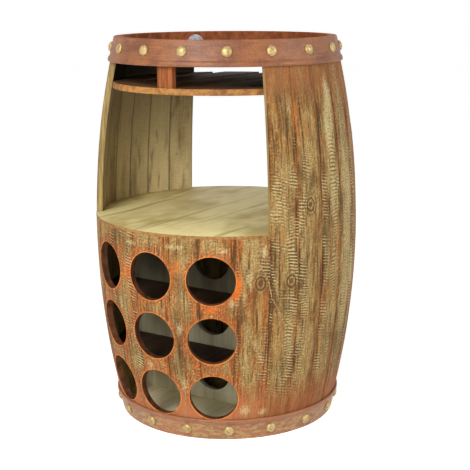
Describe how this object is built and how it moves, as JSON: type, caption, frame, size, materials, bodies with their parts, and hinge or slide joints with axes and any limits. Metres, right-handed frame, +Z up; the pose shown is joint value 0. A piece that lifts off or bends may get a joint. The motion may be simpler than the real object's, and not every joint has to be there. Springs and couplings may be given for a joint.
{
  "type": "wine rack",
  "caption": "Barrel-shaped wood wine rack: staves in two nailed hoops, round bottle holes low in front, an open middle with table shelf and hanging glass rack, and a hinged half lid on top.",
  "frame": {"origin": "middle of the base, on the floor", "axes": "+Z up along the barrel's axis, the front with the bottle holes faces -Y"},
  "size_m": [0.5558, 0.5559, 0.805],
  "materials": {
    "stave_paint": "distressed paint, dry brushed",
    "hoop_rust": "matt rust-coloured paint",
    "nail_brass": "aged",
    "inner_board": "thin grey-olive paint",
    "bare_wood": "bare",
    "table_wood": "olive stain, worn",
    "rack_wood": "brown stain",
    "head_wood": "brown-olive stain",
    "hinge_brass": "satin",
    "screw_steel": "zinc",
    "knob_chrome": "polished"
  },
  "bodies": {
    "barrel": {"left_stave_1": "stave_paint", "left_stave_2": "stave_paint", "left_stave_3": "stave_paint", "left_stave_4": "stave_paint", "left_stave_5": "stave_paint", "left_stave_6": "stave_paint", "right_stave_1": "stave_paint", "right_stave_2": "stave_paint", "right_stave_3": "stave_paint", "right_stave_4": "stave_paint", "right_stave_5": "stave_paint", "right_stave_6": "stave_paint", "front_stave_1": "stave_paint", "front_stave_2": "stave_paint", "front_stave_3": "stave_paint", "front_stave_4": "stave_paint", "front_stave_5": "stave_paint", "front_stave_6": "stave_paint", "front_stave_7": "stave_paint", "front_head_staves": "stave_paint", "back_stave_1": "stave_paint", "back_stave_2": "stave_paint", "back_stave_3": "stave_paint", "back_stave_4": "stave_paint", "back_stave_5": "stave_paint", "back_stave_6": "stave_paint", "back_stave_7": "stave_paint", "back_head_staves": "stave_paint", "top_hoop": "hoop_rust", "top_hoop_nails": "nail_brass", "bottom_hoop": "hoop_rust", "bottom_hoop_nails": "nail_brass", "bottom_board": "inner_board", "bottle_panel": "inner_board", "bottle_shelf_1": "inner_board", "bottle_shelf_2": "inner_board", "shelf_battens": "bare_wood", "shelf_ledges": "bare_wood", "panel_dowels": "bare_wood", "bottom_dowels": "bare_wood", "rack_dowels": "bare_wood", "table_plank_1": "table_wood", "table_plank_2": "table_wood", "table_plank_3": "table_wood", "table_plank_4": "table_wood", "table_plank_5": "table_wood", "glass_rack": "rack_wood", "front_post": "rack_wood", "rear_post": "rack_wood", "head_ring": "rack_wood", "fixed_head": "head_wood", "post_screws": "screw_steel", "hinge_leaves_fixed": "hinge_brass", "hinge_pins": "hinge_brass", "hinge_screws_fixed": "hinge_brass"},
    "lid": {"lid": "head_wood", "hinge_leaves_lid": "hinge_brass", "hinge_screws_lid": "hinge_brass", "lid_knob": "knob_chrome", "knob_bolt": "screw_steel"}
  },
  "joints": [
    {"name": "lid_hinge", "type": "hinge", "parent": "barrel", "child": "lid", "pos_m": [0, 0, 0.7735], "axis": [-1, 0, 0], "range_deg": [0, 160]}
  ]
}
